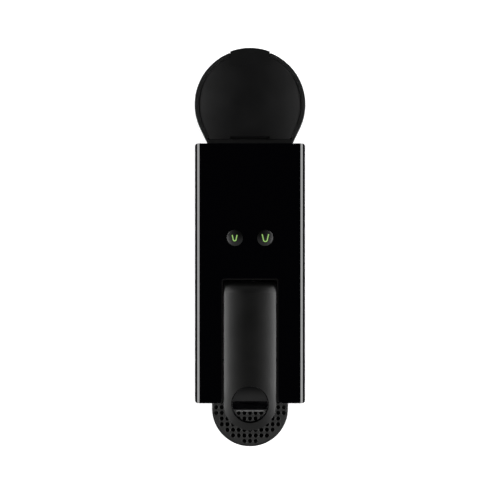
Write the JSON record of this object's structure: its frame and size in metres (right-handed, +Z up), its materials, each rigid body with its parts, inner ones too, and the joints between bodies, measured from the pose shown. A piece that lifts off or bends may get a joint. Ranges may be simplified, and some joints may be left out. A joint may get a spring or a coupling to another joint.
{
  "type": "pod coffee machine",
  "caption": "Slim black pod coffee machine with a lift-up lever over the capsule slot, two buttons, a rear water tank and a D-shaped drip tray.",
  "frame": {"origin": "centre of the footprint, on the surface the feet stand on", "axes": "+Z up, -Y is the front with the drip tray, +Y the rear with the tank, +X the right-hand side seen from the front"},
  "size_m": [0.084, 0.33, 0.204],
  "materials": {
    "gloss_shell": "high gloss",
    "satin_plastic": "satin",
    "lever_plastic": "satin, soft sheen",
    "tank_plastic": "gloss, dark smoke tint",
    "rubber": "matt",
    "silicone": "satin",
    "steel": "brushed",
    "cast_aluminium": "as cast",
    "inner_plastic": "matt",
    "circuit_board": "solder mask",
    "coil_blue": "moulded",
    "icon_lens": "lit light guide"
  },
  "bodies": {
    "machine": {"outer_shell": "gloss_shell", "lever_bed": "satin_plastic", "front_panel": "satin_plastic", "head_base": "satin_plastic", "bay_liner": "satin_plastic", "rear_panel": "satin_plastic", "base_plate": "satin_plastic", "tank_seat": "satin_plastic", "coffee_spout": "satin_plastic", "foot_front_left": "rubber", "foot_front_right": "rubber", "foot_rear_left": "rubber", "foot_rear_right": "rubber", "cord_gland": "rubber", "pump_mount_lower": "rubber", "pump_mount_upper": "rubber", "tank_seal": "silicone", "hose_inlet": "silicone", "hose_pump_feed": "silicone", "hose_boiler_feed": "silicone", "hose_brew": "silicone", "base_screw_left": "steel", "base_screw_right": "steel", "lever_pivot_left": "steel", "lever_pivot_right": "steel", "extraction_plate": "steel", "espresso_spring": "steel", "lungo_spring": "steel", "thermostat": "steel", "thermoblock": "cast_aluminium", "tank_probe": "inner_plastic", "brew_frame": "inner_plastic", "capsule_chute": "inner_plastic", "pump_head": "inner_plastic", "flow_meter_body": "inner_plastic", "flow_meter_lid": "inner_plastic", "control_board": "circuit_board", "power_board": "circuit_board", "pump_body": "coil_blue"},
    "lever": {"lever_arm": "lever_plastic", "lever_cheek_left": "steel", "lever_cheek_right": "steel"},
    "capsule_carriage": {"capsule_cage": "inner_plastic", "cage_seal": "silicone", "injection_plate": "steel", "cage_guide_left": "steel", "cage_guide_right": "steel"},
    "tank": {"water_tank": "tank_plastic"},
    "lid": {"tank_lid": "satin_plastic"},
    "valve": {"tank_valve": "inner_plastic"},
    "tray_unit": {"drip_tray": "satin_plastic", "capsule_bin": "satin_plastic"},
    "cup_stand": {"cup_support": "satin_plastic"},
    "grid": {"drip_grid": "satin_plastic"},
    "left_button": {"espresso_button": "satin_plastic", "espresso_icon": "icon_lens"},
    "right_button": {"lungo_button": "satin_plastic", "lungo_icon": "icon_lens"},
    "plunger": {"pump_plunger": "steel"},
    "meter_rotor": {"flow_meter_rotor": "silicone"}
  },
  "joints": [
    {"name": "lever_hinge", "type": "hinge", "parent": "machine", "child": "lever", "pos_m": [0, -0.0257, 0.189], "axis": [-1, 0, 0], "range_deg": [0, 85]},
    {"name": "capsule_carriage_slide", "type": "slide", "parent": "machine", "child": "capsule_carriage", "axis": [0, 1, 0], "range_m": [0, 0.03], "deforming": ["hose_brew"]},
    {"name": "tank_lift", "type": "slide", "parent": "machine", "child": "tank", "axis": [0, 0, 1], "range_m": [0, 0.2]},
    {"name": "lid_hinge", "type": "hinge", "parent": "tank", "child": "lid", "pos_m": [0, 0.0974, 0.1924], "axis": [1, 0, 0], "range_deg": [0, 100]},
    {"name": "valve_slide", "type": "slide", "parent": "tank", "child": "valve", "axis": [0, 0, -1], "range_m": [0, 0.0017]},
    {"name": "tray_slide", "type": "slide", "parent": "machine", "child": "tray_unit", "axis": [0, -1, 0], "range_m": [0, 0.12]},
    {"name": "cup_stand_lift", "type": "slide", "parent": "tray_unit", "child": "cup_stand", "axis": [0, 0, 1], "range_m": [0, 0.045]},
    {"name": "grid_lift", "type": "slide", "parent": "cup_stand", "child": "grid", "axis": [0, 0, 1], "range_m": [0, 0.02]},
    {"name": "espresso_press", "type": "slide", "parent": "machine", "child": "left_button", "axis": [0, 0, -1], "range_m": [0, 0.0015], "stiffness_N_per_m": 500, "springref_m": -0.0008, "deforming": ["espresso_spring"]},
    {"name": "lungo_press", "type": "slide", "parent": "machine", "child": "right_button", "axis": [0, 0, -1], "range_m": [0, 0.0015], "stiffness_N_per_m": 500, "springref_m": -0.0008, "deforming": ["lungo_spring"]},
    {"name": "plunger_stroke", "type": "slide", "parent": "machine", "child": "plunger", "axis": [0, 0, 1], "range_m": [-0.002, 0.002], "stiffness_N_per_m": 2500},
    {"name": "meter_spin", "type": "hinge", "parent": "machine", "child": "meter_rotor", "pos_m": [0.018, 0.05, 0.022], "axis": [0, 0, 1], "continuous": true}
  ],
  "couplings": [
    {"joint": "capsule_carriage_slide", "follows": "lever_hinge", "m_per_rad": 0.02022},
    {"joint": "valve_slide", "follows": "tank_lift", "ratio": 0.0085}
  ]
}
